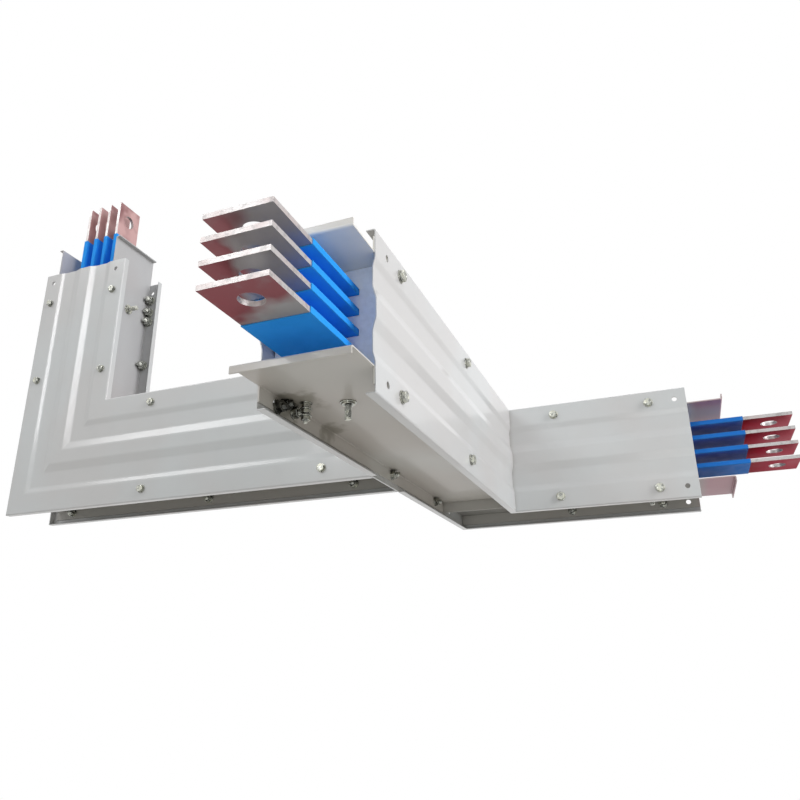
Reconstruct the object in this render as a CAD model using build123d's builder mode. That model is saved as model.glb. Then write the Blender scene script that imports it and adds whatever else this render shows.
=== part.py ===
"""Three-way busbar trunking fitting in millimetres: a trunk with a flat elbow into a right leg, and a branch
from the trunk's side with an upright elbow into a riser. Four flat copper bars run through each leg, and
those of the branch are narrower."""

import os

from build123d import *

# Housing section: one height in every leg, and less depth in the branch and its riser
section_height = 205.0
housing_depth = 148.0
branch_depth = 118.0

# Leg lengths, measured on the covers
trunk_length = 690.0
right_leg_length = 327.0
branch_length = 541.0
riser_height = 306.0
branch_setback = 242.0

# Cover sheet and its pressed waves, measured across the cover
cover_sheet = 1.5
cover_bend = 2.5
cover_lip = 12.0
flat_border = 38.0
wave_slope = 10.0
groove_width = 27.0
ridge_slope = 15.0
groove_depth = 3.0
ridge_rise = 1.2
wave_radius = 14.0

# Channels that close the section below and above
channel_sheet = 2.0
channel_bend = 3.0
web_inset = 30.0
channel_flange = 22.0
tongue_length = 60.0
tongue_lip = 10.0

# Copper bars
bar_count = 4
bar_width = 80.0
branch_bar_width = 60.0
bar_thickness = 6.0
bar_pitch = 26.5
bar_projection = 170.0
bar_hole_radius = 14.0
bar_hole_inset = 35.0
bar_bend = 12.0

# Shrink sleeves on the bars
sleeve_wall = 1.0
bare_length = 80.0

# Insulating plate inside each mouth
end_plate_thickness = 5.0
end_plate_recess = 28.0

# Gaps between pieces that seat on a curved or pressed face
seat_gap = 0.3

# Open joint holes through covers and channel flanges
joint_hole_radius = 4.5
joint_hole_border = 21.0
trunk_joint_inset = 36.0
leg_joint_inset = 20.0
riser_joint_inset = 20.0

# Open holes in the trunk's outer cover at the flat elbow's corner
corner_hole_inset = 98.0

# Places worked out from the sizes: the fitting stands centred over the origin on its cover lips
reach_left = housing_depth + branch_length + section_height
reach_right = right_leg_length + bar_projection
reach_front = trunk_length + bar_projection
reach_back = housing_depth + ridge_rise
corner_x = (reach_left - reach_right) / 2
corner_y = (reach_front - reach_back) / 2
trunk_outer_x = corner_x - housing_depth
trunk_mid_x = corner_x - housing_depth / 2
trunk_front_y = corner_y - trunk_length
leg_end_x = corner_x + right_leg_length
leg_back_y = corner_y + housing_depth
leg_mid_y = corner_y + housing_depth / 2
branch_back_y = corner_y - branch_setback
branch_front_y = branch_back_y - branch_depth
branch_mid_y = branch_back_y - branch_depth / 2
riser_inner_x = trunk_outer_x - branch_length
riser_outer_x = riser_inner_x - section_height
riser_mid_x = riser_outer_x + section_height / 2
riser_top_z = section_height + riser_height
web_depth = web_inset + channel_sheet
flange_tip = web_depth - channel_flange
stack_height = (bar_count - 1) * bar_pitch + bar_thickness
bar_levels = [(section_height - stack_height) / 2 + i * bar_pitch for i in range(bar_count)]
corner_diagonal = Plane(origin=(corner_x, corner_y, 0), z_dir=(1, 1, 0))
spare = 40.0

os.makedirs("parts", exist_ok=True)


def finish(piece, name):
    """Labels a finished piece and writes it."""
    piece.part.label = name
    export_step(piece.part, f"parts/{name}.step")


def wave_points():
    """The outer line of a cover across its height, x outward and y up, from lip to lip."""
    groove_start = flat_border + wave_slope
    ridge_start = groove_start + groove_width + ridge_slope
    lower = [
        (-cover_lip, 0),
        (0, 0),
        (0, flat_border),
        (-groove_depth, groove_start),
        (-groove_depth, groove_start + groove_width),
        (ridge_rise, ridge_start),
    ]
    return lower + [(x, section_height - y) for x, y in reversed(lower)]


wave_radii = [cover_bend] + [wave_radius] * 8 + [cover_bend]


def cover_plane(x, y, outward):
    """A plane at the foot of a cover, its x pointing out of the cover and its y up."""
    return Plane(origin=(x, y, 0), x_dir=outward, z_dir=Vector(*outward).cross(Vector(0, 0, 1)))


def cover_section(plane):
    """The section of a cover sheet."""
    with BuildSketch(plane) as section:
        with BuildLine():
            FilletPolyline(*wave_points(), radius=wave_radii)
            offset(amount=cover_sheet, side=Side.LEFT)
        make_face()
    return section.sketch


def scribe_section(plane):
    """The space behind a cover's outer face, from which a piece that butts on it is cut back."""
    with BuildSketch(plane) as section:
        with BuildLine():
            outer_line = FilletPolyline(*wave_points(), radius=wave_radii)
            Polyline(outer_line @ 1, (-spare, section_height), (-spare, 0), outer_line @ 0)
        make_face()
        offset(amount=seat_gap)
    return section.sketch


def channel(mouth, length, depth=housing_depth, with_tongue=True):
    """A channel behind a mouth plane, whose x runs across the leg and whose y runs in from the cover edge."""
    span = depth - cover_sheet
    with BuildSketch(mouth) as section:
        with BuildLine():
            FilletPolyline(
                (cover_sheet, flange_tip),
                (cover_sheet, web_depth),
                (span, web_depth),
                (span, flange_tip),
                radius=channel_bend,
            )
            offset(amount=channel_sheet, side=Side.RIGHT)
        make_face()
    extrude(section.sketch, amount=-length)
    if with_tongue:
        side = Plane(origin=mouth.origin, x_dir=mouth.z_dir, z_dir=-mouth.x_dir).offset(-cover_sheet)
        with BuildSketch(side) as tongue:
            with BuildLine():
                FilletPolyline(
                    (0, web_depth),
                    (tongue_length, web_depth),
                    (tongue_length, web_depth - tongue_lip),
                    radius=channel_bend,
                )
                offset(amount=channel_sheet, side=Side.RIGHT)
            make_face()
        extrude(tongue.sketch, amount=-(span - cover_sheet))


def drill_joint(mouth, inset):
    """Drills the joint holes of a mouth through the current part, near both long edges of its side."""
    with BuildSketch(mouth) as holes:
        with Locations((0, -inset)):
            with GridLocations(section_height - 2 * joint_hole_border, 0, 2, 1):
                Circle(joint_hole_radius)
    extrude(holes.sketch, amount=housing_depth, both=True, mode=Mode.SUBTRACT)


# Mid planes of the legs, from the middle of each mouth, with y out of the mouth and x across its height
mid_height = section_height / 2
trunk_middle = Plane(origin=(trunk_mid_x, trunk_front_y, mid_height), x_dir=(0, 0, 1), z_dir=(1, 0, 0))
leg_middle = Plane(origin=(leg_end_x, leg_mid_y, mid_height), x_dir=(0, 0, -1), z_dir=(0, -1, 0))
riser_middle = Plane(origin=(riser_mid_x, branch_mid_y, riser_top_z), x_dir=(1, 0, 0), z_dir=(0, -1, 0))
branch_middle = Plane.XZ.offset(-branch_mid_y)

# Covers of the trunk, mitred at the flat elbow
with BuildPart() as trunk_inner_cover:
    extrude(cover_section(cover_plane(corner_x, leg_back_y, (1, 0, 0))), amount=trunk_length + housing_depth)
    split(bisect_by=corner_diagonal, keep=Keep.BOTTOM)
    drill_joint(trunk_middle, trunk_joint_inset)
finish(trunk_inner_cover, "trunk_inner_cover")

# The outer one has a window for the branch bars, and its lips stop at the branch
with BuildPart() as trunk_outer_cover:
    start = cover_plane(trunk_outer_x, trunk_front_y, (-1, 0, 0))
    extrude(cover_section(start), amount=trunk_length + housing_depth + spare)
    split(bisect_by=corner_diagonal, keep=Keep.BOTTOM)
    drill_joint(trunk_middle, trunk_joint_inset)
    with BuildSketch(Plane.YZ.offset(trunk_mid_x)):
        with Locations((branch_mid_y, mid_height)):
            Rectangle(branch_depth - 2 * (cover_sheet + groove_depth), section_height - 2 * web_depth)
        with Locations((leg_back_y - corner_hole_inset, mid_height)):
            with GridLocations(0, section_height - 2 * joint_hole_border, 1, 2):
                Circle(joint_hole_radius)
    extrude(amount=housing_depth, both=True, mode=Mode.SUBTRACT)
    with BuildSketch(Plane.XY):
        with Locations((trunk_mid_x, branch_mid_y)):
            Rectangle(housing_depth - 2 * (cover_bend + cover_sheet), branch_depth)
    extrude(amount=section_height, mode=Mode.SUBTRACT)
finish(trunk_outer_cover, "trunk_outer_cover")

# Covers of the right leg
with BuildPart() as right_leg_inner_cover:
    start = cover_plane(leg_end_x, corner_y, (0, -1, 0))
    extrude(cover_section(start), amount=right_leg_length + housing_depth)
    split(bisect_by=corner_diagonal, keep=Keep.TOP)
    drill_joint(leg_middle, leg_joint_inset)
finish(right_leg_inner_cover, "right_leg_inner_cover")

with BuildPart() as right_leg_outer_cover:
    start = cover_plane(trunk_outer_x - spare, leg_back_y, (0, 1, 0))
    extrude(cover_section(start), amount=right_leg_length + housing_depth + spare)
    split(bisect_by=corner_diagonal, keep=Keep.TOP)
    drill_joint(leg_middle, leg_joint_inset)
finish(right_leg_outer_cover, "right_leg_outer_cover")

# One-piece covers of the upright elbow, scribed to the trunk's pressed side
with BuildPart() as elbow_front_cover:
    with BuildLine() as elbow_path:
        Polyline(
            (trunk_outer_x + spare / 2, branch_front_y, 0),
            (riser_outer_x, branch_front_y, 0),
            (riser_outer_x, branch_front_y, riser_top_z),
        )
    start = cover_plane(trunk_outer_x + spare / 2, branch_front_y, (0, -1, 0))
    sweep(cover_section(start), path=elbow_path.line, transition=Transition.RIGHT)
    trunk_side = scribe_section(cover_plane(trunk_outer_x, trunk_front_y, (-1, 0, 0)))
    extrude(trunk_side, amount=trunk_length, mode=Mode.SUBTRACT)
    drill_joint(riser_middle, riser_joint_inset)
finish(elbow_front_cover, "elbow_front_cover")

with BuildPart() as elbow_back_cover:
    mirror(elbow_front_cover.part, about=branch_middle)
finish(elbow_back_cover, "elbow_back_cover")

# Channels of the flat elbow: the right leg's run through to the outer corner and the trunk's butt on them
for name, start_x, edge_z, across in (("bottom", trunk_outer_x, 0, 1), ("top", corner_x, section_height, -1)):
    with BuildPart() as trunk_channel:
        channel(
            Plane(origin=(start_x, trunk_front_y, edge_z), x_dir=(across, 0, 0), z_dir=(0, -1, 0)),
            trunk_length + cover_sheet,
        )
        drill_joint(trunk_middle, trunk_joint_inset)
    finish(trunk_channel, f"trunk_{name}_channel")

for name, start_y, edge_z, across in (("bottom", corner_y, 0, 1), ("top", leg_back_y, section_height, -1)):
    with BuildPart() as right_leg_channel:
        channel(
            Plane(origin=(leg_end_x, start_y, edge_z), x_dir=(0, across, 0), z_dir=(1, 0, 0)),
            right_leg_length + housing_depth - cover_sheet - seat_gap,
        )
        drill_joint(leg_middle, leg_joint_inset)
    finish(right_leg_channel, f"right_leg_{name}_channel")

# Channels of the upright elbow: the branch's run to the corners and the riser's stand on them
with BuildPart() as branch_bottom_channel:
    start = (trunk_outer_x - seat_gap, branch_front_y, 0)
    channel(
        Plane(origin=start, x_dir=(0, 1, 0), z_dir=(1, 0, 0)),
        branch_length + section_height - flange_tip - seat_gap,
        branch_depth,
        with_tongue=False,
    )
finish(branch_bottom_channel, "branch_bottom_channel")

with BuildPart() as branch_top_channel:
    start = (trunk_outer_x - seat_gap, branch_back_y, section_height)
    channel(
        Plane(origin=start, x_dir=(0, -1, 0), z_dir=(1, 0, 0)),
        branch_length + web_depth - seat_gap,
        branch_depth,
        with_tongue=False,
    )
    with BuildSketch(Plane.XY.offset(section_height - web_inset)):
        with Locations((riser_inner_x - flange_tip, branch_mid_y)):
            Rectangle(web_depth, branch_depth, align=(Align.MAX, Align.CENTER))
    extrude(amount=web_inset, mode=Mode.SUBTRACT)
finish(branch_top_channel, "branch_top_channel")

with BuildPart() as riser_inner_channel:
    channel(
        Plane(origin=(riser_inner_x, branch_front_y, riser_top_z), x_dir=(0, 1, 0), z_dir=(0, 0, 1)),
        riser_height + web_inset,
        branch_depth,
    )
    drill_joint(riser_middle, riser_joint_inset)
finish(riser_inner_channel, "riser_inner_channel")

with BuildPart() as riser_outer_channel:
    channel(
        Plane(origin=(riser_outer_x, branch_back_y, riser_top_z), x_dir=(0, -1, 0), z_dir=(0, 0, 1)),
        riser_top_z - web_depth,
        branch_depth,
    )
    drill_joint(riser_middle, riser_joint_inset)
finish(riser_outer_channel, "riser_outer_channel")

# Flat bars of the trunk and right leg, cut as one flat elbow, with a shrink sleeve between the bare ends
def flat_elbow(margin, end_cut):
    """The plan of a flat elbow bar, grown by a margin and cut back at both ends."""
    side = (housing_depth - bar_width) / 2 - margin
    front = trunk_front_y - bar_projection + end_cut
    right = leg_end_x + bar_projection - end_cut
    Polygon(
        (trunk_outer_x + side, front),
        (corner_x - side, front),
        (corner_x - side, corner_y + side),
        (right, corner_y + side),
        (right, leg_back_y - side),
        (trunk_outer_x + side, leg_back_y - side),
        align=None,
    )


branch_start_x = trunk_outer_x + (housing_depth - bar_width) / 2
for i, level in enumerate(bar_levels, start=1):
    with BuildPart() as main_bar:
        with BuildSketch(Plane.XY.offset(level)):
            flat_elbow(0, 0)
            with Locations(
                (trunk_mid_x, trunk_front_y - bar_projection + bar_hole_inset),
                (leg_end_x + bar_projection - bar_hole_inset, leg_mid_y),
            ):
                Circle(bar_hole_radius, mode=Mode.SUBTRACT)
        extrude(amount=bar_thickness)
    finish(main_bar, f"main_bar_{i}")

    with BuildPart() as main_sleeve:
        with BuildSketch(Plane.XY.offset(level - sleeve_wall)):
            flat_elbow(sleeve_wall, bare_length)
        extrude(amount=bar_thickness + 2 * sleeve_wall)
        with BuildSketch(Plane.XY.offset(level)):
            flat_elbow(0, 0)
            with Locations((branch_start_x, branch_mid_y)):
                Rectangle(2 * sleeve_wall, branch_bar_width)
        extrude(amount=bar_thickness, mode=Mode.SUBTRACT)
    finish(main_sleeve, f"main_sleeve_{i}")

# Branch bars butt on the edges of the trunk bars and bend up flatwise into the riser
bar_tip_z = riser_top_z + bar_projection


def bent_bar(level, margin, end_cut):
    """A branch bar at a level, grown by a margin and cut back at its upper end."""
    outer_x = riser_outer_x + level - margin
    with BuildSketch(branch_middle.offset(-(branch_bar_width / 2 + margin))) as outline:
        with BuildLine():
            FilletPolyline(
                (branch_start_x - margin, level - margin),
                (outer_x, level - margin),
                (outer_x, bar_tip_z - end_cut),
                radius=bar_bend + bar_thickness + margin,
            )
            offset(amount=bar_thickness + 2 * margin, side=Side.RIGHT)
        make_face()
    extrude(outline.sketch, amount=branch_bar_width + 2 * margin)


for i, level in enumerate(bar_levels, start=1):
    with BuildPart() as branch_bar:
        bent_bar(level, 0, 0)
        hole_centre = (riser_outer_x + level, branch_mid_y, bar_tip_z - bar_hole_inset)
        with BuildSketch(Plane(origin=hole_centre, z_dir=(1, 0, 0))):
            Circle(bar_hole_radius)
        extrude(amount=bar_thickness, mode=Mode.SUBTRACT)
    finish(branch_bar, f"branch_bar_{i}")

    with BuildPart() as branch_sleeve:
        bent_bar(level, sleeve_wall, bare_length)
        add(branch_bar.part, mode=Mode.SUBTRACT)
    finish(branch_sleeve, f"branch_sleeve_{i}")

# Insulating plates inside the mouths, slotted for the sleeved bars
front_plate = Plane(
    origin=(trunk_mid_x, trunk_front_y + end_plate_recess, mid_height),
    x_dir=(1, 0, 0),
    z_dir=(0, -1, 0),
)
right_plate = Plane(
    origin=(leg_end_x - end_plate_recess, leg_mid_y, mid_height),
    x_dir=(0, 1, 0),
    z_dir=(1, 0, 0),
)
top_plate = Plane(
    origin=(riser_mid_x, branch_mid_y, riser_top_z - end_plate_recess),
    x_dir=(0, 1, 0),
    z_dir=(0, 0, 1),
)
for name, place, depth, width in (
    ("front", front_plate, housing_depth, bar_width),
    ("right", right_plate, housing_depth, bar_width),
    ("top", top_plate, branch_depth, branch_bar_width),
):
    with BuildPart() as end_plate:
        with BuildSketch(place):
            Rectangle(depth - 2 * (cover_sheet + groove_depth), section_height - 2 * web_depth)
            with GridLocations(0, bar_pitch, 1, bar_count):
                Rectangle(
                    width + 2 * (sleeve_wall + seat_gap),
                    bar_thickness + 2 * (sleeve_wall + seat_gap),
                    mode=Mode.SUBTRACT,
                )
        extrude(amount=-end_plate_thickness)
    finish(end_plate, f"end_plate_{name}")
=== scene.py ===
"""Three-way busbar trunking fitting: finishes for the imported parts, its bolts and nuts, and the studio."""

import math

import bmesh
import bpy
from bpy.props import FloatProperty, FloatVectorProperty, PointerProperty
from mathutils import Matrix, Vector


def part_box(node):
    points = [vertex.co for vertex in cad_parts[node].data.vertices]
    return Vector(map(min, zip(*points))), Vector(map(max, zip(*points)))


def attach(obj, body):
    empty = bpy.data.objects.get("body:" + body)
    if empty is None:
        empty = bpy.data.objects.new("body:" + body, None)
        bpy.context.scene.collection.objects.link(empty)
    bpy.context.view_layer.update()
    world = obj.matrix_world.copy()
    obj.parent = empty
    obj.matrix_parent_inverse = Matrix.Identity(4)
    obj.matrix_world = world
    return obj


bl_info = {
    "name": "Busbar trunking fitting",
    "version": (1, 0, 0),
    "blender": (4, 5, 0),
    "location": "3D View > Sidebar > Trunking",
    "description": "Finishes the housing and bars of a busbar trunking fitting and fits its bolts",
    "category": "Object",
}

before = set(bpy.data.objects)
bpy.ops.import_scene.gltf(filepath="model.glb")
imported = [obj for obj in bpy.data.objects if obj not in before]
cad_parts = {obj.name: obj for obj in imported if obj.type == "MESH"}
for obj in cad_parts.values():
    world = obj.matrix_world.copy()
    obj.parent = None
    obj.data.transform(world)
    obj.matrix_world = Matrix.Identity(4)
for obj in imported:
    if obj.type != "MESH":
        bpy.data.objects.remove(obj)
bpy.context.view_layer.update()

X, Y, Z = Vector((1, 0, 0)), Vector((0, 1, 0)), Vector((0, 0, 1))

# Outer faces and mouths of the legs, in metres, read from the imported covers
ridge_rise = 0.0012
trunk_inner_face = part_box("trunk_inner_cover")[1].x - ridge_rise
trunk_outer_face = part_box("trunk_outer_cover")[0].x + ridge_rise
trunk_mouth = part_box("trunk_inner_cover")[0].y
leg_inner_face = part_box("right_leg_inner_cover")[0].y + ridge_rise
leg_outer_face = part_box("right_leg_outer_cover")[1].y - ridge_rise
leg_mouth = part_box("right_leg_outer_cover")[1].x
branch_front_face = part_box("elbow_front_cover")[0].y + ridge_rise
branch_back_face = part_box("elbow_back_cover")[1].y - ridge_rise
riser_outer_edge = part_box("elbow_front_cover")[0].x
riser_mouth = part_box("elbow_front_cover")[1].z
section_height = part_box("trunk_inner_cover")[1].z
cover_sheet = 0.0015
channel_sheet = 0.002
web_inset = 0.030

# Tips of the bars, in metres
front_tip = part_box("main_bar_1")[0].y
right_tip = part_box("main_bar_1")[1].x
top_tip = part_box("branch_bar_1")[1].z

# Distances of the bolts along a leg, in metres: from the mouth, and on the branch from the trunk's outer face
trunk_inner_bolts = (0.080, 0.378)
trunk_outer_bolts = (0.080, 0.415, 0.640)
right_leg_bolts = (0.066, 0.241)
branch_front_bolts = (0.083, 0.434)
branch_back_bolts = (0.078, 0.372)
corner_bolt = 0.051
riser_front_bolts = (0.068, 0.241)
riser_back_inner_bolts = (0.039, 0.067, 0.090, 0.191)
riser_back_outer_bolts = (0.067, 0.241)
web_stud_inset = 0.084
trunk_stud_inset = 0.090

# The earth stud's distance from the trunk's outer face and mouth, in metres
earth_stud_across, earth_stud_along = 0.025, 0.073

# How much smaller the bolts of branch and riser are, and how much larger the riser's nuts
small_bolt = 0.88
large_nut = 1.2

# How far each bolt is turned on from the one before it, and a nut from its bolt's head, in radians
bolt_turn = 2.4
nut_turn = 0.7


def length(name, description, default):
    """A length that a user can change."""
    return FloatProperty(
        name=name,
        description=description,
        default=default,
        min=0,
        unit="LENGTH",
        precision=4,
    )


def angle(name, description, degrees):
    """An angle that a user can change."""
    return FloatProperty(
        name=name,
        description=description,
        default=math.radians(degrees),
        subtype="ANGLE",
    )


def colour(name, description, default):
    """A colour that a user can change."""
    return FloatVectorProperty(
        name=name,
        description=description,
        default=default,
        subtype="COLOR",
        size=3,
        min=0,
        max=1,
    )


class TrunkingBolts(bpy.types.PropertyGroup):
    """Sizes and places of the bolts."""

    across_flats: length("Across flats", "Width of the hex heads and nuts", 0.013)
    head_height: length("Head height", "Height of a hex head", 0.0053)
    nut_height: length("Nut height", "Height of a nut", 0.0065)
    washer_radius: length("Washer radius", "Outer radius of a flat washer", 0.0085)
    washer_sheet: length("Washer thickness", "Thickness of a flat washer", 0.0016)
    thread_radius: length("Thread radius", "Outer radius of the thread", 0.004)
    thread_pitch: length("Thread pitch", "Rise of the thread in one turn", 0.00125)
    thread_end: length("Thread end", "Length of thread that stands out of a nut", 0.005)
    border: length("Border", "Distance of the bolts from a cover's long edges", 0.022)


class TrunkingFinishes(bpy.types.PropertyGroup):
    """Colours of the finishes."""

    cover_paint: colour("Cover paint", "Light grey gloss on the pressed covers", (0.545, 0.565, 0.565))
    channel_paint: colour("Channel paint", "Satin grey on the folded channels", (0.54, 0.535, 0.50))
    tin: colour("Tin", "Plating on the bars", (0.36, 0.35, 0.345))
    copper: colour("Copper", "Copper that shows through the plating", (0.25, 0.12, 0.125))
    # Bright tin is painted light: with it the bars' narrow sides, edges and upward faces are made lighter
    # than the broad faces
    painted_light_tin: colour("Bright tin", "Plating on the narrow edges of the bars", (0.50, 0.485, 0.48))
    pink_tin: colour("Pink tin", "Thin plating on the bars of the riser", (0.58, 0.36, 0.35))
    sleeve: colour("Sleeve", "Heat shrink sleeve on the bars", (0.03, 0.34, 0.98))
    plate: colour("End plate", "Insulating laminate inside the mouths", (0.72, 0.77, 0.84))
    zinc: colour("Zinc", "Plating on bolts and nuts", (0.47, 0.48, 0.44))


class TrunkingStage(bpy.types.PropertyGroup):
    """The camera and the floor."""

    eye: FloatVectorProperty(
        name="Eye",
        description="Where the camera stands",
        default=(0.4773, -1.0040, -0.2761),
        subtype="TRANSLATION",
        unit="LENGTH",
        size=3,
    )
    turn: angle("Turn", "Turn of the view to the left of +Y", 21.375)
    tilt: angle("Tilt", "Rise of the view above the horizon", 20.572)
    roll: angle("Roll", "Roll of the camera", -0.534)
    lens: FloatProperty(
        name="Lens",
        description="Focal length on a 36 mm sensor",
        default=32.71,
        unit="CAMERA",
    )
    floor_depth: length("Floor depth", "How far the floor lies below the fitting", 1.2)


# Points in one turn of a ring or a thread
STEPS = 24

# Rings over the top of a head or nut: each ring's share of the radius across flats, and its depth in metres
HEAD_TOP = ((0.97, 0), (0.72, 0), (0.66, 0.0003), (0.3, 0.00035))
NUT_TOP = ((0.97, 0), (0.72, 0), (0.60, 0.0006), (0.5, 0.0006))

# Depth and point of a thread as shares of its pitch, and the share of a nut's height where a thread starts
THREAD_DEPTH = 0.61
THREAD_POINT = 0.6
THREAD_START = 0.7

# Edges that bend by more than this stay sharp
SHARP_ANGLE = math.radians(35)

# Rays that look for edges and corners at each point of a finish
SHADING_SAMPLES = 6


def ring_angles():
    """Angles of the points of a ring."""
    return [2 * math.pi * i / STEPS for i in range(STEPS)]


def ring(radius, height):
    """Points of a circle at a height."""
    return [Vector((radius * math.cos(a), radius * math.sin(a), height)) for a in ring_angles()]


def hex_ring(across_flats, height, chamfer):
    """Points of a hexagon at a height, whose corners fall away outside the flats as a chamfer leaves them."""
    points = []
    for around in ring_angles():
        part = (around + math.pi / 6) % (math.pi / 3) - math.pi / 6
        radius = across_flats / 2 / math.cos(part)
        fall = (radius - across_flats / 2) * math.tan(math.pi / 6)
        points.append(Vector((radius * math.cos(around), radius * math.sin(around), height - chamfer * fall)))
    return points


def skin(mesh, rings, pose):
    """Adds a closed skin over rings of points, moved to a pose."""
    loops = [[mesh.verts.new(pose @ point) for point in points] for points in rings]
    for low, high in zip(loops, loops[1:]):
        for i in range(len(low)):
            j = (i + 1) % len(low)
            mesh.faces.new((low[i], low[j], high[j], high[i]))
    mesh.faces.new(list(reversed(loops[0])))
    mesh.faces.new(loops[-1])


def add_washer(mesh, pose, radius, sheet):
    """A flat washer that stands on the pose's origin."""
    round_off = 0.0002
    bore_share = 0.5
    skin(mesh, [
        ring(radius, 0),
        ring(radius, sheet - round_off),
        ring(radius - round_off, sheet),
        ring(radius * bore_share, sheet),
    ], pose)


def add_hex(mesh, pose, across_flats, height, top):
    """A hex head or nut with chamfered corners, whose top is a set of rings."""
    flat = across_flats / 2
    foot_share, foot_rise = 0.95, 0.0002
    skin(mesh, [
        ring(flat * foot_share, 0),
        hex_ring(across_flats, foot_rise, -1),
        hex_ring(across_flats, height, 1),
    ] + [ring(flat * share, height - depth) for share, depth in top], pose)


def add_thread(mesh, pose, radius, pitch, start, end):
    """A screw thread from one height to another, with a pointed-off end."""
    root = radius - pitch * THREAD_DEPTH
    turns = max(1, round((end - start) / pitch))
    count = turns * STEPS
    crests, roots = [], []
    for i in range(count + 1):
        around = 2 * math.pi * i / STEPS
        height = start + pitch * i / STEPS
        whole = min(1.0, (count - i) / STEPS)
        crest = radius - pitch * THREAD_DEPTH * (1 - whole)
        across = Vector((math.cos(around), math.sin(around), 0))
        crests.append(mesh.verts.new(pose @ (across * crest + Z * height)))
        roots.append(mesh.verts.new(pose @ (across * root + Z * (height + pitch / 2))))
    for i in range(count):
        mesh.faces.new((crests[i], crests[i + 1], roots[i + 1], roots[i]))
        if i + STEPS < count:
            mesh.faces.new((roots[i], roots[i + 1], crests[i + 1 + STEPS], crests[i + STEPS]))
    cap = mesh.verts.new(pose @ (Z * (end + pitch * THREAD_POINT)))
    for i in range(count - STEPS, count):
        mesh.faces.new((roots[i], roots[i + 1], cap))


def pose_at(place, outward, spin=0.0):
    """A pose at a place with its Z pointing outward, spun about it."""
    turn = Vector(outward).to_track_quat("Z", "Y").to_matrix().to_4x4()
    return Matrix.Translation(place) @ turn @ Matrix.Rotation(spin, 4, "Z")


def add_bolt(mesh, pose, sizes):
    """A bolt head on its washer."""
    add_washer(mesh, pose, sizes.washer_radius, sizes.washer_sheet)
    seat = pose @ Matrix.Translation(Z * sizes.washer_sheet)
    add_hex(mesh, seat, sizes.across_flats, sizes.head_height, HEAD_TOP)


def add_nut(mesh, pose, sizes, thread_end=None):
    """A nut on its washer, with the bolt's end standing out of it."""
    add_washer(mesh, pose, sizes.washer_radius, sizes.washer_sheet)
    seat = pose @ Matrix.Translation(Z * sizes.washer_sheet)
    add_hex(mesh, seat, sizes.across_flats, sizes.nut_height, NUT_TOP)
    start = sizes.nut_height * THREAD_START
    end = sizes.nut_height + (sizes.thread_end if thread_end is None else thread_end)
    add_thread(mesh, seat, sizes.thread_radius, sizes.thread_pitch, start, end)


def add_object(name, data):
    """Puts an object with its data into the scene."""
    added = bpy.data.objects.new(name, data)
    bpy.context.scene.collection.objects.link(added)
    return added


def new_piece(name, mesh, material):
    """Makes a piece of a mesh, which rides with the fitting."""
    data = bpy.data.meshes.new(name)
    bmesh.ops.recalc_face_normals(mesh, faces=mesh.faces)
    mesh.to_mesh(data)
    mesh.free()
    for face in data.polygons:
        face.use_smooth = True
    data.set_sharp_from_angle(angle=SHARP_ANGLE)
    data.materials.append(material)
    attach(add_object(name, data), "root")


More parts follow.
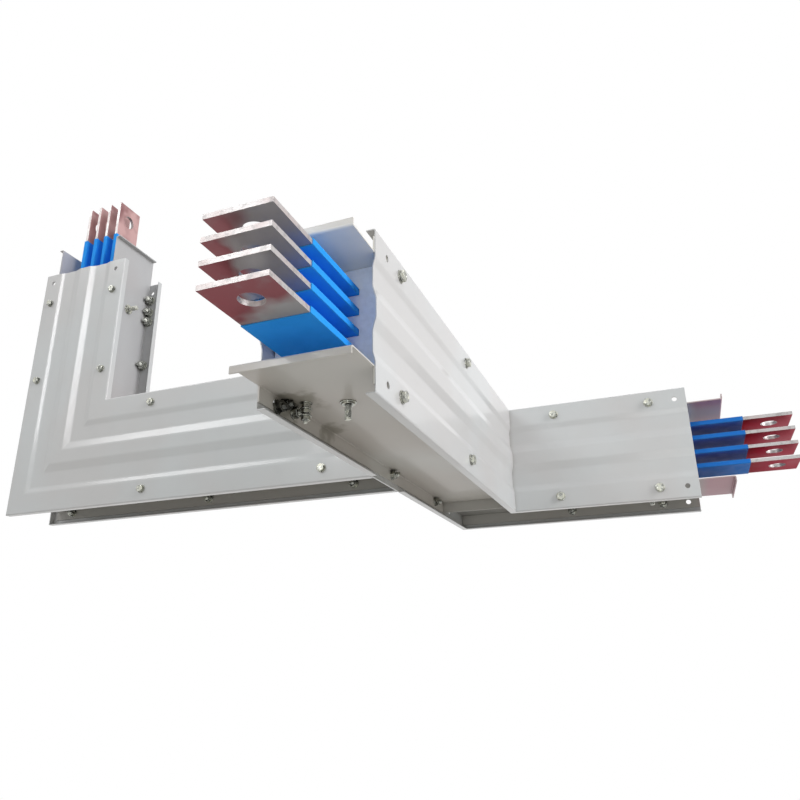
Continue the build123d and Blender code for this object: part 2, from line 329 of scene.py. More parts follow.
class Finish:
    """A procedural material: a principled shader, and short ways to lay nodes in front of it."""

    def __init__(self, name, metallic=0.0):
        self.material = bpy.data.materials.new(name)
        self.material.use_nodes = True
        self.tree = self.material.node_tree
        self.shader = self.tree.nodes["Principled BSDF"]
        self.shader.inputs["Metallic"].default_value = metallic
        self.place = self.tree.nodes.new("ShaderNodeTexCoord").outputs["Object"]
        self.rounded = None

    def link(self, source, target):
        """Joins an output to an input, or sets the input to a plain value."""
        if isinstance(source, bpy.types.NodeSocket):
            self.tree.links.new(source, target)
        else:
            target.default_value = source

    def stretched(self, stretch):
        """The place on the piece, stretched along its axes."""
        node = self.tree.nodes.new("ShaderNodeMapping")
        node.inputs["Scale"].default_value = stretch
        self.link(self.place, node.inputs["Vector"])
        return node.outputs["Vector"]

    def noise(self, scale, detail=3.0, stretch=(1, 1, 1), distortion=0.0):
        """Cloudy noise from 0 to 1, at a scale in cells per metre."""
        node = self.tree.nodes.new("ShaderNodeTexNoise")
        node.inputs["Scale"].default_value = scale
        node.inputs["Detail"].default_value = detail
        node.inputs["Distortion"].default_value = distortion
        self.link(self.stretched(stretch), node.inputs["Vector"])
        return node.outputs["Fac"]

    def ranged(self, value, low, high, to_low=0.0, to_high=1.0):
        """A value eased from one range to another and held within it."""
        node = self.tree.nodes.new("ShaderNodeMapRange")
        node.interpolation_type = "SMOOTHSTEP"
        ends = {"From Min": low, "From Max": high, "To Min": to_low, "To Max": to_high}
        for name, number in ends.items():
            node.inputs[name].default_value = number
        self.link(value, node.inputs["Value"])
        return node.outputs["Result"]

    def math(self, operation, first, second=0.0):
        """One step of arithmetic."""
        node = self.tree.nodes.new("ShaderNodeMath")
        node.operation = operation
        self.link(first, node.inputs[0])
        self.link(second, node.inputs[1])
        return node.outputs[0]

    def mix(self, factor, first, second):
        """A mix of two colours."""
        node = self.tree.nodes.new("ShaderNodeMix")
        node.data_type = "RGBA"
        self.link(factor, node.inputs[0])
        for source, target in ((first, node.inputs[6]), (second, node.inputs[7])):
            self.link(source if isinstance(source, bpy.types.NodeSocket) else (*source, 1.0), target)
        return node.outputs[2]

    def axis(self, source, name):
        """One axis of a vector."""
        node = self.tree.nodes.new("ShaderNodeSeparateXYZ")
        self.link(source, node.inputs[0])
        return node.outputs[name]

    def normal(self):
        """The facing of the surface."""
        return self.tree.nodes.new("ShaderNodeNewGeometry").outputs["Normal"]

    def edges(self, radius):
        """1 on edges and 0 away from them; the bevel that finds them also rounds the shading where a bump
        follows.
        """
        bevel = self.tree.nodes.new("ShaderNodeBevel")
        bevel.samples = SHADING_SAMPLES
        bevel.inputs["Radius"].default_value = radius
        node = self.tree.nodes.new("ShaderNodeVectorMath")
        node.operation = "DOT_PRODUCT"
        self.link(bevel.outputs["Normal"], node.inputs[0])
        self.link(self.normal(), node.inputs[1])
        self.rounded = bevel.outputs["Normal"]
        return self.ranged(node.outputs["Value"], 0.99, 0.8)

    def crevice(self, reach):
        """1 deep in corners and 0 on open faces."""
        node = self.tree.nodes.new("ShaderNodeAmbientOcclusion")
        node.samples = SHADING_SAMPLES
        node.inputs["Distance"].default_value = reach
        return self.ranged(node.outputs["AO"], 0.75, 0.25)

    def near(self, spot, radius):
        """1 at a spot and 0 beyond a radius of it, with a ragged border."""
        part = 0.3 * radius
        node = self.tree.nodes.new("ShaderNodeVectorMath")
        node.operation = "DISTANCE"
        self.link(self.place, node.inputs[0])
        node.inputs[1].default_value = spot
        ragged = self.ranged(self.noise(60, 4), 0.3, 0.7, -part, part)
        return self.ranged(self.math("ADD", node.outputs["Value"], ragged), radius, part)

    def bump(self, *layers):
        """Bumps laid over each other, each a height, its depth in metres and its strength."""
        under = self.rounded
        for height, depth, strength in layers:
            node = self.tree.nodes.new("ShaderNodeBump")
            node.inputs["Strength"].default_value = strength
            node.inputs["Distance"].default_value = depth
            self.link(height, node.inputs["Height"])
            if under is not None:
                self.link(under, node.inputs["Normal"])
            under = node.outputs["Normal"]
        self.link(under, self.shader.inputs["Normal"])

    def show(self, base, roughness):
        """Sets the colour and the roughness."""
        self.link(base, self.shader.inputs["Base Color"])
        self.link(roughness, self.shader.inputs["Roughness"])


# Colours within the finishes
# Painted shade for the corners of the paint
PAINTED_CORNER_SHADE = (0.20, 0.185, 0.155)
GRIME = (0.16, 0.145, 0.10)
# Painted shade for the corners of bolts and nuts
PAINTED_CREVICE_SHADE = (0.05, 0.045, 0.035)
# Painted reflection of the red bars on the paint beyond the right mouth
PAINTED_RED_REFLECTION = (0.36, 0.14, 0.18)
ROSY_TIN = (0.60, 0.33, 0.35)
TIN_GLANCE = (0.95, 0.93, 0.92)
COPPER_GLANCE = (0.45, 0.14, 0.17)
# Painted shade on the sleeves beyond the right mouth, and deeper painted shade between the bars there
PAINTED_SLEEVE_SHADE = (0.02, 0.05, 0.30)
PAINTED_GAP_SHADE = (0.05, 0.014, 0.22)


def shade(colour_value, amount):
    """A colour made lighter or darker."""
    return tuple(min(1.0, part * amount) for part in colour_value)


def tinged(colour_value, shares):
    """A colour with each of its parts made lighter or darker by its own share."""
    return tuple(part * share for part, share in zip(colour_value, shares))


def paint(name, base, gloss, coat, grime=(), red_reflection=False, under=1.0):
    """Stove paint on folded sheet: faint dents, orange peel, smudges, scuffs, painted shade in corners,
    bright edges.

    Grime lies at spots. Faces that look down can be made lighter as painted light or darker as painted shade,
    and take a painted red reflection outside the right mouth.
    """
    finish = Finish(name)
    clouds = finish.noise(5, 2)
    smudges = finish.noise(24, 5)
    scuffs = finish.noise(120, 1, stretch=(1.0, 0.1, 1.0))
    edge = finish.edges(0.0009)
    tint = finish.mix(finish.ranged(clouds, 0.38, 0.62), base, tinged(base, (0.985, 0.95, 0.94)))
    down = finish.ranged(finish.axis(finish.normal(), "Z"), 0.3, -0.3)
    # Faces that look down take a lighter copy of the paint as painted light, or a darker one as painted shade
    if under != 1.0:
        tint = finish.mix(down, tint, shade(base, under))
    tint = finish.mix(finish.ranged(smudges, 0.5, 0.85, 0.0, 0.16), tint, shade(base, 0.8))
    tint = finish.mix(finish.ranged(scuffs, 0.66, 0.8, 0.0, 0.1), tint, shade(base, 1.1))
    # Corners and seams darkened by ambient occlusion: painted shade
    tint = finish.mix(finish.math("MULTIPLY", finish.crevice(0.012), 0.5), tint, PAINTED_CORNER_SHADE)
    for spot, radius in grime:
        tint = finish.mix(finish.math("MULTIPLY", finish.near(spot, radius), 0.6), tint, GRIME)
    # Beyond the right mouth, faces that look down take a painted red reflection of the bars
    if red_reflection:
        outside = finish.ranged(finish.axis(finish.place, "X"), leg_mouth - 0.01, leg_mouth + 0.02, 0.0, 0.95)
        tint = finish.mix(finish.math("MULTIPLY", outside, down), tint, PAINTED_RED_REFLECTION)
    tint = finish.mix(finish.math("MULTIPLY", edge, 0.5), tint, shade(base, 1.4))
    finish.show(tint, finish.ranged(finish.noise(4, 3), 0.35, 0.65, gloss, gloss + 0.16))
    finish.bump((finish.noise(14, 2), 0.0012, 0.3), (finish.noise(700, 1), 0.0001, 0.05))
    finish.shader.inputs["Coat Weight"].default_value = coat
    finish.shader.inputs["Coat Roughness"].default_value = 0.12
    return finish.material


def bar_metal(name, shades, broad_axis, worn):
    """Tinned copper, dull where the tin is whole and red where it is worn off, with painted light on the
    narrow sides, painted highlights on the edges and, on flat bars, painted light on the faces that look up.
    """
    tin, copper, bright = shades
    finish = Finish(name)
    clouds = finish.noise(24, 2)
    drift = finish.ranged(clouds, 0.3, 0.7, -0.010, 0.010)
    bare = finish.ranged(finish.math("ADD", worn(finish), drift), 0.012, -0.012)
    broad = finish.ranged(finish.math("ABSOLUTE", finish.axis(finish.normal(), broad_axis)), 0.55, 0.85)
    stain = finish.ranged(finish.noise(60, 5), 0.5, 0.8, 0.0, 0.3)
    face = finish.mix(bare, tin, copper)
    face = finish.mix(stain, face, shade(tin, 0.7))
    if broad_axis == "Z":
        # Faces that look up are made lighter still: painted light
        painted_top_light = finish.ranged(finish.axis(finish.normal(), "Z"), 0.3, 0.7)
        face = finish.mix(painted_top_light, face, shade(bright, 1.5))
        rosy = finish.ranged(finish.axis(finish.place, "X"), leg_mouth + 0.07, right_tip - 0.01, 0.0, 0.65)
        face = finish.mix(rosy, face, ROSY_TIN)
    # The narrow sides take the lighter tin: painted light
    side = finish.mix(finish.ranged(clouds, 0.4, 0.62), bright, tinged(bright, (1.0, 0.92, 0.91)))
    side = finish.mix(finish.ranged(finish.noise(140, 4), 0.48, 0.66, 0.0, 0.6), side, shade(bright, 0.6))
    tint = finish.mix(broad, side, face)
    # Edges made lighter again: painted highlight
    tint = finish.mix(finish.math("MULTIPLY", finish.edges(0.0006), 0.7), tint, shade(bright, 1.3))
    finish.show(tint, finish.ranged(clouds, 0.25, 0.75, 0.29, 0.42))
    bare = finish.math("MULTIPLY", bare, broad)
    finish.link(finish.math("MAXIMUM", bare, 0.5), finish.shader.inputs["Metallic"])
    finish.link(finish.mix(bare, TIN_GLANCE, COPPER_GLANCE), finish.shader.inputs["Specular Tint"])
    return finish.material


def worn_main(finish):
    """Below 0 where a flat elbow bar shows copper, near its front tip and beyond the right mouth.

    The lowest bar is worn across its tip, and the others along the side nearest the trunk's outer cover.
    """
    x, y, z = [finish.axis(finish.place, name) for name in "XYZ"]
    from_tip = finish.math("SUBTRACT", y, front_tip)
    across = finish.math("SUBTRACT", x, trunk_outer_face)
    lowest_slant, lowest_reach = 0.44, 0.088
    lowest = finish.math("ADD", from_tip, finish.math("MULTIPLY", across, lowest_slant))
    lowest = finish.math("SUBTRACT", lowest, lowest_reach)
    others_slant, others_reach = 0.3, 0.068
    others = finish.math("ADD", across, finish.math("MULTIPLY", from_tip, others_slant))
    others = finish.math("SUBTRACT", others, others_reach)
    above_lowest = finish.ranged(z, 0.068, 0.080)
    step = finish.math("MULTIPLY", finish.math("SUBTRACT", others, lowest), above_lowest)
    right = finish.math("SUBTRACT", leg_mouth, x)
    return finish.math("MINIMUM", finish.math("ADD", lowest, step), right)


def worn_branch(finish):
    """Near 0 where a branch bar is reddest: towards its tip and in soft clouds."""
    clouds = finish.ranged(finish.noise(16, 2), 0.35, 0.65, 0.0, 0.008)
    from_tip = finish.math("SUBTRACT", top_tip, finish.axis(finish.place, "Z"))
    return finish.math("ADD", clouds, finish.math("MULTIPLY", from_tip, 0.12))


def shrink_plastic(name, base):
    """Heat shrink sleeve: satin plastic with faint wrinkles and pale edges, with painted shade in its corners
    and beyond the right mouth, deepest between the bars there.
    """
    finish = Finish(name)
    wrinkles = finish.noise(45, 2, distortion=0.6)
    grain = finish.noise(900, 2)
    edge = finish.edges(0.003)
    pale = (base[0] + 0.03, base[1] + 0.13, min(1.0, base[2] + 0.15))
    tint = finish.mix(finish.ranged(wrinkles, 0.35, 0.75, 0.0, 0.3), base, shade(base, 0.8))
    # Corners darkened by ambient occlusion: painted shade
    tint = finish.mix(finish.math("MULTIPLY", finish.crevice(0.01), 0.5), tint, shade(base, 0.4))
    tint = finish.mix(finish.math("MULTIPLY", edge, 0.8), tint, pale)
    # Beyond the right mouth the sleeves are darker and more violet, deepest between the bars: painted shade
    sleeve_shade_share = finish.ranged(finish.axis(finish.place, "X"), leg_mouth - 0.02, leg_mouth, 0.0, 0.55)
    tint = finish.mix(sleeve_shade_share, tint, PAINTED_SLEEVE_SHADE)
    tint = finish.mix(finish.math("MULTIPLY", finish.crevice(0.03), sleeve_shade_share), tint, PAINTED_GAP_SHADE)
    finish.show(tint, finish.ranged(wrinkles, 0.3, 0.7, 0.36, 0.48))
    finish.bump((wrinkles, 0.0004, 0.15), (grain, 0.00005, 0.15))
    finish.shader.inputs["IOR"].default_value = 1.08
    return finish.material


def laminate(name, base):
    """Pressed laminate: matt, faintly mottled, with paler sawn edges."""
    finish = Finish(name)
    mottle = finish.noise(140, 5)
    clouds = finish.noise(18, 3)
    edge = finish.edges(0.0008)
    tint = finish.mix(finish.ranged(mottle, 0.35, 0.7, 0.0, 0.4), base, shade(base, 0.8))
    tint = finish.mix(finish.ranged(clouds, 0.4, 0.7, 0.0, 0.3), tint, shade(base, 1.18))
    tint = finish.mix(edge, tint, shade(base, 1.4))
    finish.show(tint, finish.ranged(mottle, 0.3, 0.7, 0.5, 0.66))
    finish.bump((mottle, 0.0003, 0.3))
    return finish.material


def zinc_plate(name, base, light, yellow):
    """Bright zinc on forged heads and nuts, made lighter or darker as a whole by the lightness, with painted
    shade in their corners and yellow passivation in patches.
    """
    finish = Finish(name, metallic=1.0)
    patches = finish.noise(160, 4)
    fine = finish.noise(2200, 2)
    edge = finish.edges(0.0005)
    brassy = tinged(base, (1.0, 0.9, 0.55))
    tint = finish.mix(finish.ranged(patches, 0.4, 0.7, 0.0, yellow), shade(base, light), shade(brassy, light))
    tint = finish.mix(finish.ranged(patches, 0.55, 0.35, 0.0, 0.75), tint, shade(base, 0.3 * light))
    # Corners darkened by ambient occlusion: painted shade
    tint = finish.mix(finish.crevice(0.006), tint, PAINTED_CREVICE_SHADE)
    tint = finish.mix(finish.math("MULTIPLY", edge, 0.8), tint, shade(base, 1.3 * light))
    finish.show(tint, finish.ranged(patches, 0.3, 0.7, 0.18, 0.36))
    finish.bump((fine, 0.00005, 0.3))
    return finish.material


def dress(material, *names):
    """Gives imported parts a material, leaving their meshes alone."""
    for name in names:
        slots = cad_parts[name].data.materials
        slots.clear()
        slots.append(material)


class TRUNKING_OT_paint_housing(bpy.types.Operator):
    """Paints the pressed covers and the folded channels"""

    bl_idname = "trunking.paint_housing"
    bl_label = "Paint housing"

    def execute(self, context):
        finishes = context.scene.trunking_finishes
        cover = paint("cover_paint", tuple(finishes.cover_paint), gloss=0.29, coat=0.6)
        dress(cover, *[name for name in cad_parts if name.endswith("_cover")])
        grey = tuple(finishes.channel_paint)
        satin = {"gloss": 0.38, "coat": 0.25}
        grime = (
            (Vector((trunk_outer_face + 0.012, trunk_mouth + 0.062, web_inset)), 0.045),
            (Vector((trunk_outer_face + 0.004, trunk_mouth + 0.175, web_inset)), 0.030),
        )
        # The channels take the painted red reflection beyond the right mouth
        channel = paint("channel_paint", grey, grime=grime, red_reflection=True, **satin)
        dress(channel, *[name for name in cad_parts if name.endswith("_channel")])
        # The trunk's top channel is lighter where it faces down: painted light
        dress(paint("top_channel_painted_light", grey, under=1.5, **satin), "trunk_top_channel")
        # The bottom channels of branch and right leg are darker where they face down: painted shade, with the
        # painted red reflection beyond the right mouth
        low = paint("low_channel_painted_shade", grey, red_reflection=True, under=0.5, **satin)
        dress(low, "branch_bottom_channel", "right_leg_bottom_channel")
        # The riser's channels are cooler in tone, and darker as painted shade
        cool_shaded = paint("riser_channel_cool_painted_shade", tinged(grey, (0.83, 0.85, 0.92)), **satin)
        dress(cool_shaded, "riser_inner_channel", "riser_outer_channel")
        return {"FINISHED"}


class TRUNKING_OT_plate_bars(bpy.types.Operator):
    """Finishes the bars in tinned copper"""

    bl_idname = "trunking.plate_bars"
    bl_label = "Plate bars"

    def execute(self, context):
        finishes = context.scene.trunking_finishes
        tin, copper, bright = tuple(finishes.tin), tuple(finishes.copper), tuple(finishes.painted_light_tin)
        pink = tuple(finishes.pink_tin)
        main = bar_metal("main_bar_metal", (tin, copper, bright), "Z", worn_main)
        branch = bar_metal("branch_bar_metal", (pink, copper, bright), "X", worn_branch)
        for i in range(1, 5):
            dress(main, f"main_bar_{i}")
            dress(branch, f"branch_bar_{i}")
        return {"FINISHED"}


class TRUNKING_OT_finish_sleeves(bpy.types.Operator):
    """Finishes the blue heat shrink sleeves"""

    bl_idname = "trunking.finish_sleeves"
    bl_label = "Finish sleeves"

    def execute(self, context):
        plastic = shrink_plastic("shrink_plastic", tuple(context.scene.trunking_finishes.sleeve))
        dress(plastic, *[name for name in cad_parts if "_sleeve_" in name])
        return {"FINISHED"}


class TRUNKING_OT_finish_end_plates(bpy.types.Operator):
    """Finishes the slotted insulating plates inside the mouths"""

    bl_idname = "trunking.finish_end_plates"
    bl_label = "Finish end plates"

    def execute(self, context):
        board = laminate("plate_laminate", tuple(context.scene.trunking_finishes.plate))
        dress(board, "end_plate_front", "end_plate_right", "end_plate_top")
        return {"FINISHED"}


def zinc(context, light=1.0, yellow=0.25):
    """The zinc finish of bolts and nuts, made once for each lightness and yellowness; a lightness above 1 is
    painted light on hardware that lies in shade.
    """
    name = f"zinc_{round(light * 100)}_{round(yellow * 100)}"
    base = tuple(context.scene.trunking_finishes.zinc)
    return bpy.data.materials.get(name) or zinc_plate(name, base, light, yellow)


def fit_bolts(context, name, spots, scale=1.0, nut_scale=1.0, nut_finish=None):
    """Bolt heads and nuts through a leg's covers, at spots: a place on the cover and its outward way each."""
    sizes = context.scene.trunking_bolts
    heads, nuts = bmesh.new(), bmesh.new()
    for i, (place, outward) in enumerate(spots):
        spin = bolt_turn * i
        add_bolt(heads, pose_at(place, outward, spin) @ Matrix.Scale(scale, 4), sizes)
        inside = place - outward * (cover_sheet + channel_sheet)
        add_nut(nuts, pose_at(inside, -outward, spin + nut_turn) @ Matrix.Scale(nut_scale, 4), sizes)
    new_piece(f"{name}_bolts", heads, zinc(context))
    new_piece(f"{name}_nuts", nuts, nut_finish or zinc(context))


def both_edges(context):
    """Heights of the bolt rows at the lower and upper long edge of a cover."""
    border = context.scene.trunking_bolts.border
    return border, section_height - border


class TRUNKING_OT_bolt_trunk(bpy.types.Operator):
    """Bolts the covers of the trunk"""

    bl_idname = "trunking.bolt_trunk"
    bl_label = "Bolt trunk covers"

    def execute(self, context):
        spots = []
        for height in both_edges(context):
            for inset in trunk_inner_bolts:
                spots.append((Vector((trunk_inner_face, trunk_mouth + inset, height)), X))
            for inset in trunk_outer_bolts:
                spots.append((Vector((trunk_outer_face, trunk_mouth + inset, height)), -X))
        fit_bolts(context, "trunk", spots)
        return {"FINISHED"}


class TRUNKING_OT_bolt_right_leg(bpy.types.Operator):
    """Bolts the covers of the right leg"""

    bl_idname = "trunking.bolt_right_leg"
    bl_label = "Bolt right leg covers"

    def execute(self, context):
        spots = []
        for inset in right_leg_bolts:
            for height in both_edges(context):
                spots.append((Vector((leg_mouth - inset, leg_inner_face, height)), -Y))
                spots.append((Vector((leg_mouth - inset, leg_outer_face, height)), Y))
        fit_bolts(context, "right_leg", spots)
        return {"FINISHED"}


class TRUNKING_OT_bolt_branch(bpy.types.Operator):
    """Bolts the covers of the branch"""

    bl_idname = "trunking.bolt_branch"
    bl_label = "Bolt branch covers"

    def execute(self, context):
        spots = []
        for height in both_edges(context):
            for inset in branch_front_bolts:
                spots.append((Vector((trunk_outer_face - inset, branch_front_face, height)), -Y))
            for inset in branch_back_bolts:
                spots.append((Vector((trunk_outer_face - inset, branch_back_face, height)), Y))
        border = context.scene.trunking_bolts.border
        spots.append((Vector((riser_outer_edge + corner_bolt, branch_back_face, border)), Y))
        fit_bolts(context, "branch", spots, small_bolt)
        return {"FINISHED"}


class TRUNKING_OT_bolt_riser(bpy.types.Operator):
    """Bolts the covers of the riser"""

    bl_idname = "trunking.bolt_riser"
    bl_label = "Bolt riser covers"

    def execute(self, context):
        border = context.scene.trunking_bolts.border
        outer, inner = riser_outer_edge + border, riser_outer_edge + section_height - border
        spots = []
        for across in (outer, inner):
            for inset in riser_front_bolts:
                spots.append((Vector((across, branch_front_face, riser_mouth - inset)), -Y))
        for inset in riser_back_inner_bolts:
            spots.append((Vector((inner, branch_back_face, riser_mouth - inset)), Y))
        for inset in riser_back_outer_bolts:
            spots.append((Vector((outer, branch_back_face, riser_mouth - inset)), Y))
        # The riser's nuts lie in shade and take a lighter zinc: painted light
        fit_bolts(context, "riser", spots, small_bolt, large_nut, zinc(context, 1.35, 0.0))
        return {"FINISHED"}


class TRUNKING_OT_fit_web_studs(bpy.types.Operator):
    """Fits the studs and nuts that stand out of the webs and a flange near the mouths"""

    bl_idname = "trunking.fit_web_studs"
    bl_label = "Fit web studs"

    def execute(self, context):
        self.fit_studs(context)
        self.fit_earth_stud(context)
        self.fit_dark_nuts(context)
        return {"FINISHED"}

    def fit_studs(self, context):
        """A stud with a wide and a narrow washer in the web at each mouth."""
        trunk_middle = (trunk_inner_face + trunk_outer_face) / 2
        leg_middle = (leg_inner_face + leg_outer_face) / 2
        branch_middle = (branch_front_face + branch_back_face) / 2
        riser_inner_side = riser_outer_edge + section_height - web_inset
        wide, wide_sheet, narrow, narrow_sheet = 0.0105, 0.0015, 0.0085, 0.0025
        radius, start, end = 0.0045, 0.003, 0.0235
        pitch = context.scene.trunking_bolts.thread_pitch
        mesh = bmesh.new()
        for place, outward in (
            (Vector((trunk_middle, trunk_mouth + trunk_stud_inset, web_inset)), -Z),
            (Vector((riser_inner_side, branch_middle, riser_mouth - web_stud_inset)), X),
            (Vector((leg_mouth - web_stud_inset, leg_middle, web_inset)), -Z),
        ):
            pose = pose_at(place, outward)
            add_washer(mesh, pose, wide, wide_sheet)
            add_washer(mesh, pose @ Matrix.Translation(Z * wide_sheet), narrow, narrow_sheet)
            add_thread(mesh, pose, radius, pitch, start, end)
        # The studs take a lighter zinc so that they don't render dark in the troughs: painted light
        new_piece("web_studs", mesh, zinc(context, 1.1))

    def fit_earth_stud(self, context):
        """A long stud under the trunk's web with three nuts on washers, apart from each other."""
        radius, pitch, end = 0.003, 0.001, 0.0265
        washer, washer_sheet, across_flats, nut_height = 0.0075, 0.0012, 0.010, 0.005
        mesh = bmesh.new()
        foot = Vector((trunk_outer_face + earth_stud_across, trunk_mouth + earth_stud_along, web_inset))
        pose = pose_at(foot, -Z)
        add_thread(mesh, pose, radius, pitch, 0.0, end)
        for height in (0.0, 0.0075, 0.0165):
            seat = pose @ Matrix.Translation(Z * height)
            add_washer(mesh, seat, washer, washer_sheet)
            on_washer = seat @ Matrix.Translation(Z * washer_sheet)
            add_hex(mesh, on_washer, across_flats, nut_height, NUT_TOP)
        new_piece("earth_stud", mesh, zinc(context, 0.9))

    def fit_dark_nuts(self, context):
        """Two dark nuts with toothed washers on the trunk's outer flange near its mouth, their zinc darkened
        partly as tarnish and grime, partly as painted shade.
        """
        inside = trunk_outer_face + cover_sheet + channel_sheet
        sheet, thread_end = 0.001, 0.004
        mesh = bmesh.new()
        for inset, height, spin in ((0.056, 0.0255, 0.4), (0.040, 0.017, 1.1)):
            pose = pose_at(Vector((inside, trunk_mouth + inset, height)), X, spin)
            self.add_toothed_washer(mesh, pose, sheet)
            on_washer = pose @ Matrix.Translation(Z * sheet)
            add_nut(mesh, on_washer, context.scene.trunking_bolts, thread_end)
        # Much darker zinc: partly tarnish and grime, partly painted shade
        new_piece("dark_nuts", mesh, zinc(context, 0.3))

    def add_toothed_washer(self, mesh, pose, sheet):
        """A washer whose border is cut into teeth, with a gap at every third point."""
        radius, gap = 0.0095, 0.78
        rings = []
        for height in (0, sheet):
            reaches = [1.0 if i % 3 else gap for i in range(STEPS)]
            rings.append([
                Vector((point.x * reach, point.y * reach, height))
                for point, reach in zip(ring(radius, height), reaches)
            ])
        skin(mesh, rings, pose)


# Each lamp's name, place, width and height in metres, power in watts and tint
LAMPS = (
    ("key_lamp", (4.2, -0.7, 1.7), (3.0, 3.0), 172.0, (1.0, 0.975, 0.99)),
    ("low_lamp", (0.7, -2.6, -0.5), (0.8, 0.8), 7.0, (0.98, 0.99, 1.0)),
    ("front_lamp", (-0.8, -5.0, 1.6), (3.5, 3.5), 21.0, (0.97, 1.0, 1.0)),
    ("top_lamp", (-0.5, 0.8, 4.5), (3.0, 3.0), 45.0, (1.0, 1.0, 1.0)),
    ("streak_lamp", (-1.6, -3.4, 1.8), (0.3, 1.3), 16.0, (1.0, 0.99, 1.0)),
    ("left_lamp", (-2.7, -2.1, 2.9), (1.2, 1.2), 21.0, (1.0, 1.0, 1.0)),
)

# Where the lamps point, and the strength and colour of the light from all around
LAMP_AIM = Vector((0, 0, 0.2))
AMBIENT_STRENGTH = 0.45
AMBIENT_COLOUR = (0.96, 0.98, 1.0, 1)

# Half the floor's width, and its colours where it is seen and where it throws light back on the fitting
FLOOR_REACH = 30
FLOOR_SEEN = (0.93, 0.93, 0.93, 1)
FLOOR_BOUNCE = (0.5, 0.48, 0.45, 1)

# The photograph's frame lies a little beside the middle of the view
LENS_SHIFT = (0.0118, -0.0052)


def mix_shaders(tree, factor, first, second):
    """A mix of two shaders, by a share from 0 to 1."""
    node = tree.nodes.new("ShaderNodeMixShader")
    for source, target in zip((factor, first, second), node.inputs):
        tree.links.new(source, target)
    return node.outputs[0]


def background(tree, tint, strength):
    """A background shader of one colour and strength."""
    node = tree.nodes.new("ShaderNodeBackground")
    node.inputs["Color"].default_value = tint
    node.inputs["Strength"].default_value = strength
    return node.outputs[0]


def diffuse(tree, tint):
    """A diffuse shader of one colour."""
    node = tree.nodes.new("ShaderNodeBsdfDiffuse")
    node.inputs["Color"].default_value = tint
    return node.outputs[0]


class TRUNKING_OT_set_stage(bpy.types.Operator):
    """Sets the floor, the light and the camera"""

    bl_idname = "trunking.set_stage"
    bl_label = "Set stage"

    def execute(self, context):
        stage = context.scene.trunking_stage
        self.lay_floor(stage)
        self.light_world(context)
        self.hang_lamps()
        self.aim_camera(context, stage)
        context.scene.view_settings.view_transform = "Standard"
        return {"FINISHED"}

    def seen_ray(self, tree):
        """1 for rays that show the background itself, in the camera or in a gloss or a glass."""
        path = tree.nodes.new("ShaderNodeLightPath")
        seen = path.outputs["Is Camera Ray"]
        for name in ("Is Glossy Ray", "Is Transmission Ray"):
            node = tree.nodes.new("ShaderNodeMath")
            node.operation = "MAXIMUM"
            tree.links.new(seen, node.inputs[0])
            tree.links.new(path.outputs[name], node.inputs[1])
            seen = node.outputs[0]
        return seen

    def lay_floor(self, stage):
        """A wide pale floor that fades to white with distance and keeps the shadow."""
        mesh = bmesh.new()
        bmesh.ops.create_grid(mesh, x_segments=8, y_segments=8, size=FLOOR_REACH)
        data = bpy.data.meshes.new("floor")
        mesh.to_mesh(data)
        mesh.free()
        floor = add_object("floor", data)
        floor.location.z = -stage.floor_depth
        material = bpy.data.materials.new("floor_white")
        material.use_nodes = True
        tree = material.node_tree
        tree.nodes.clear()
        place = tree.nodes.new("ShaderNodeTexCoord")
        distance = tree.nodes.new("ShaderNodeVectorMath")
        distance.operation = "LENGTH"
        tree.links.new(place.outputs["Object"], distance.inputs[0])
        fade = tree.nodes.new("ShaderNodeMapRange")
        for name, number in {"From Min": 1.0, "From Max": 5.0, "To Min": 0.55, "To Max": 1.0}.items():
            fade.inputs[name].default_value = number
        tree.links.new(distance.outputs["Value"], fade.inputs["Value"])
        white = tree.nodes.new("ShaderNodeEmission").outputs[0]
        seen = mix_shaders(tree, fade.outputs["Result"], diffuse(tree, FLOOR_SEEN), white)
        chosen = mix_shaders(tree, self.seen_ray(tree), diffuse(tree, FLOOR_BOUNCE), seen)
        output = tree.nodes.new("ShaderNodeOutputMaterial")
        tree.links.new(chosen, output.inputs["Surface"])
        data.materials.append(material)

    def light_world(self, context):
        """A faint light from all around, which is seen as plain white."""
        world = bpy.data.worlds.new("studio")
        context.scene.world = world
        world.use_nodes = True
        tree = world.node_tree
        tree.nodes.clear()
        ambient = background(tree, AMBIENT_COLOUR, AMBIENT_STRENGTH)
        white = background(tree, (1, 1, 1, 1), 1.0)
        chosen = mix_shaders(tree, self.seen_ray(tree), ambient, white)
        output = tree.nodes.new("ShaderNodeOutputWorld")
        tree.links.new(chosen, output.inputs["Surface"])

    def hang_lamps(self):
        """Six soft lamps, the strongest at the right."""
        for name, place, size, power, tint in LAMPS:
            data = bpy.data.lights.new(name, "AREA")
            data.shape = "RECTANGLE"
            data.size, data.size_y = size
            data.energy = power
            data.color = tint
            lamp = add_object(name, data)
            lamp.location = place
            lamp.rotation_euler = (LAMP_AIM - Vector(place)).to_track_quat("-Z", "Y").to_euler()

    def aim_camera(self, context, stage):
        """A camera where the photographer stood, looking up at the fitting."""
        data = bpy.data.cameras.new("camera")
        data.sensor_width = 36
        data.lens = stage.lens
        data.shift_x, data.shift_y = LENS_SHIFT
        data.clip_start = 0.05
        camera = add_object("camera", data)
        turn = Matrix.Rotation(stage.turn, 4, "Z") @ Matrix.Rotation(math.pi / 2 + stage.tilt, 4, "X")
        camera.matrix_world = Matrix.Translation(stage.eye) @ turn @ Matrix.Rotation(stage.roll, 4, "Z")
        context.scene.camera = camera


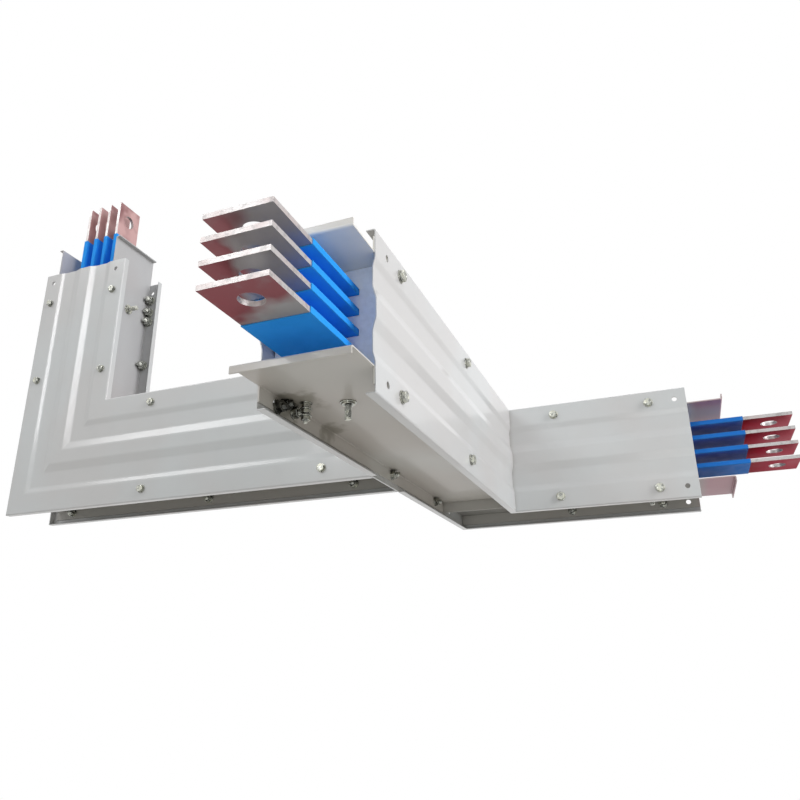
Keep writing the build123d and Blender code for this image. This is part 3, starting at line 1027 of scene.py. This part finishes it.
GROUPS = {
    "trunking_bolts": TrunkingBolts,
    "trunking_finishes": TrunkingFinishes,
    "trunking_stage": TrunkingStage,
}

OPERATORS = (
    TRUNKING_OT_paint_housing,
    TRUNKING_OT_plate_bars,
    TRUNKING_OT_finish_sleeves,
    TRUNKING_OT_finish_end_plates,
    TRUNKING_OT_bolt_trunk,
    TRUNKING_OT_bolt_right_leg,
    TRUNKING_OT_bolt_branch,
    TRUNKING_OT_bolt_riser,
    TRUNKING_OT_fit_web_studs,
    TRUNKING_OT_set_stage,
)


class TRUNKING_PT_panel(bpy.types.Panel):
    """Steps and sizes of the fitting"""

    bl_idname = "TRUNKING_PT_panel"
    bl_label = "Busbar trunking"
    bl_space_type = "VIEW_3D"
    bl_region_type = "UI"
    bl_category = "Trunking"

    def draw(self, context):
        for group_name in GROUPS:
            group = getattr(context.scene, group_name)
            box = self.layout.box()
            for name in group.__annotations__:
                box.prop(group, name)
        for operator in OPERATORS:
            self.layout.operator(operator.bl_idname)


def register():
    """Adds the properties, the operators and the panel."""
    for name, group in GROUPS.items():
        bpy.utils.register_class(group)
        setattr(bpy.types.Scene, name, PointerProperty(type=group))
    for operator in OPERATORS:
        bpy.utils.register_class(operator)
    bpy.utils.register_class(TRUNKING_PT_panel)


def unregister():
    """Takes them away again."""
    bpy.utils.unregister_class(TRUNKING_PT_panel)
    for operator in reversed(OPERATORS):
        bpy.utils.unregister_class(operator)
    for name, group in GROUPS.items():
        delattr(bpy.types.Scene, name)
        bpy.utils.unregister_class(group)


def main():
    """Runs every step."""
    register()
    bpy.ops.trunking.paint_housing()
    bpy.ops.trunking.plate_bars()
    bpy.ops.trunking.finish_sleeves()
    bpy.ops.trunking.finish_end_plates()
    bpy.ops.trunking.bolt_trunk()
    bpy.ops.trunking.bolt_right_leg()
    bpy.ops.trunking.bolt_branch()
    bpy.ops.trunking.bolt_riser()
    bpy.ops.trunking.fit_web_studs()
    bpy.ops.trunking.set_stage()
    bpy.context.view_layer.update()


if __name__ == "__main__":
    main()
